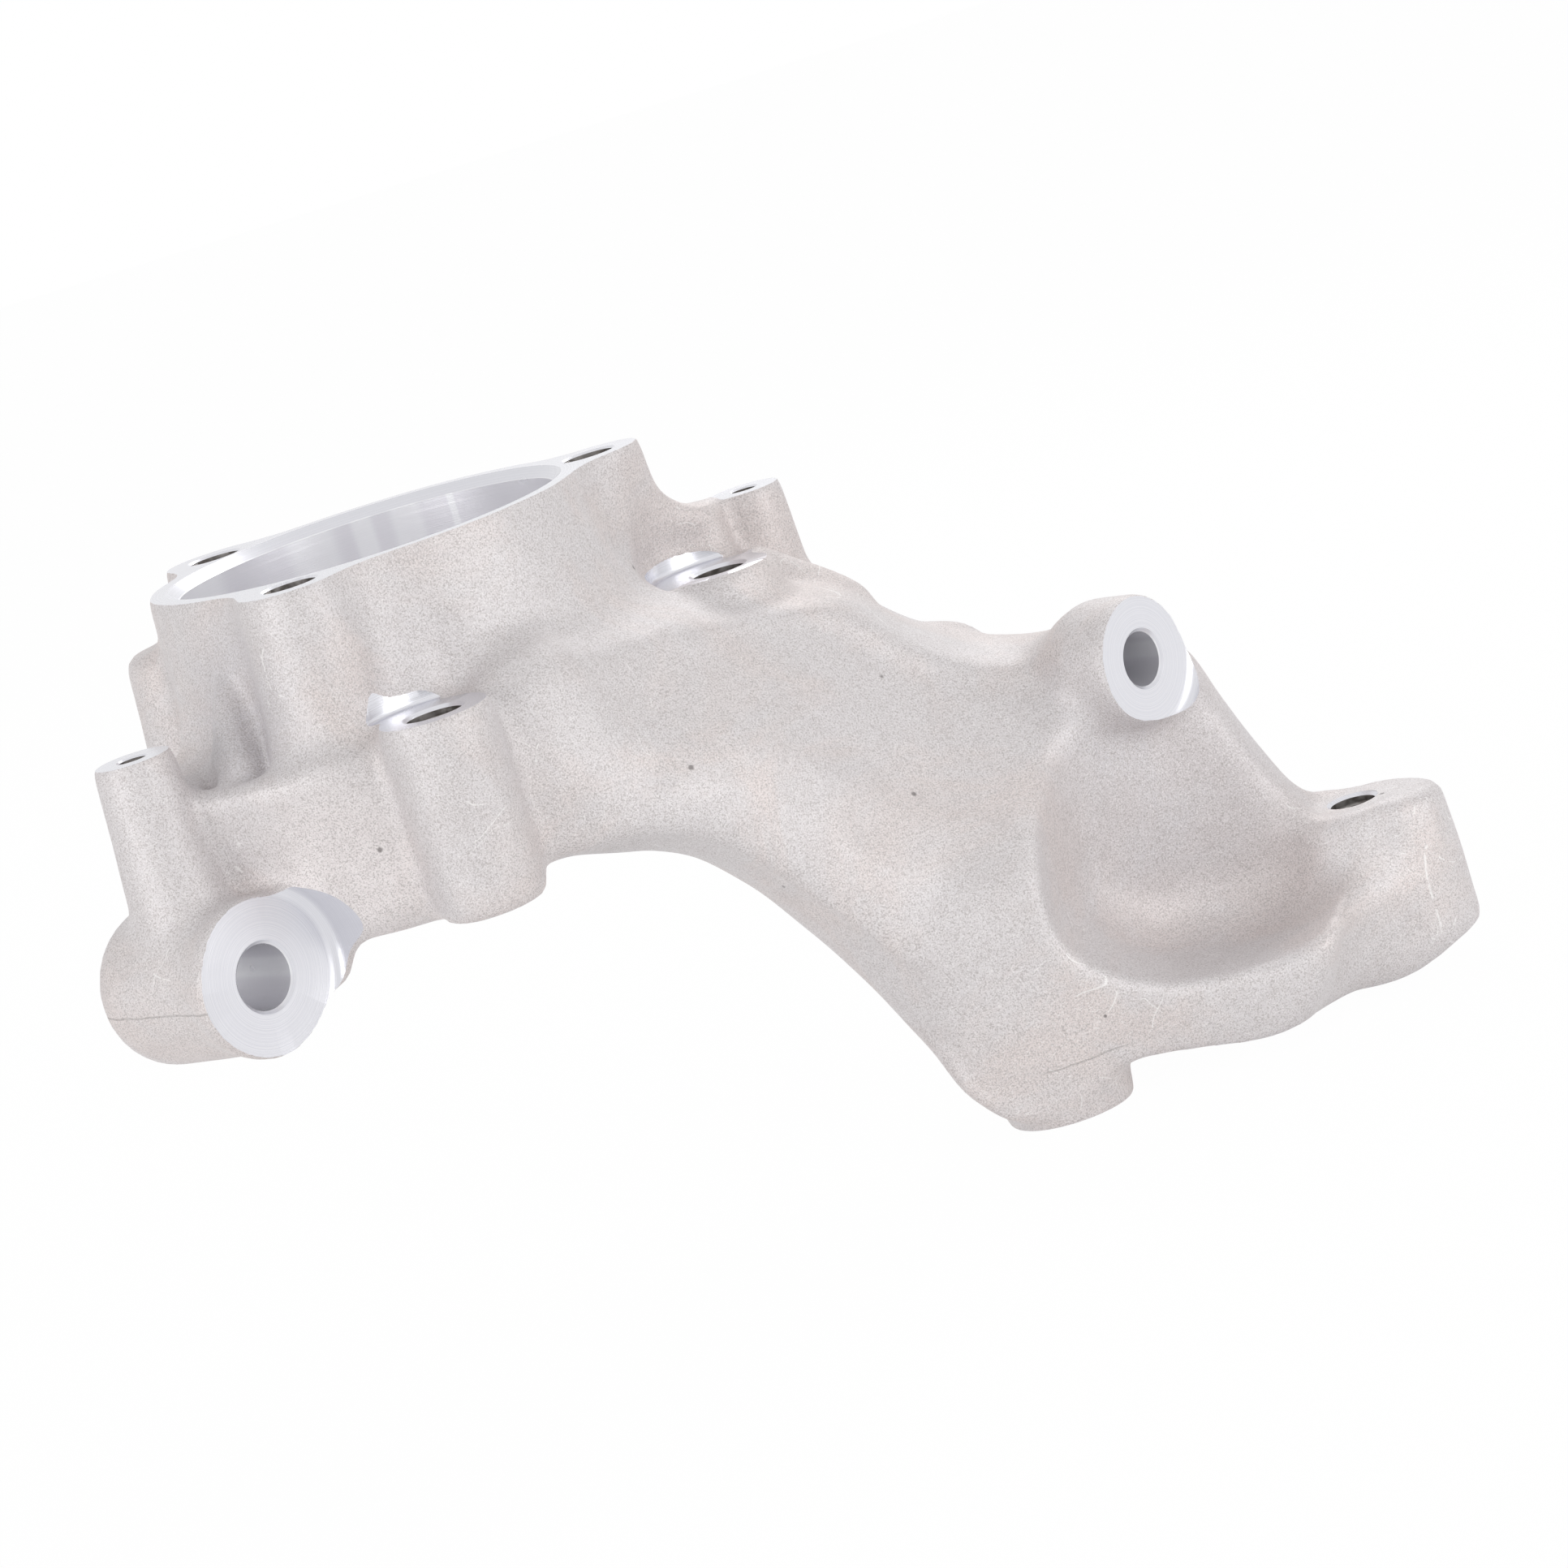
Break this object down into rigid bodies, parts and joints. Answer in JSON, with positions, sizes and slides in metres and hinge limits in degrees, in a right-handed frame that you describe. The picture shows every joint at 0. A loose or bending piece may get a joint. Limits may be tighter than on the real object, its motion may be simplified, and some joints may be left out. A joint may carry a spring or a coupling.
{
  "type": "steering knuckle",
  "caption": "Cast aluminium steering knuckle: bearing bore with bolt flange, caliper and shield bosses, link bores and a long arm with a scooped side.",
  "frame": {"origin": "centre of the bearing bore on the outboard flange face", "axes": "+Z outboard along the bearing bore, +X towards the arm end, +Y away from the link faces"},
  "size_m": [0.312, 0.1436, 0.173],
  "materials": {
    "cast_aluminium": "blasted cast surface, machined on the faces and in the bores"
  },
  "bodies": {
    "root": {"knuckle": "cast_aluminium"}
  },
  "joints": []
}
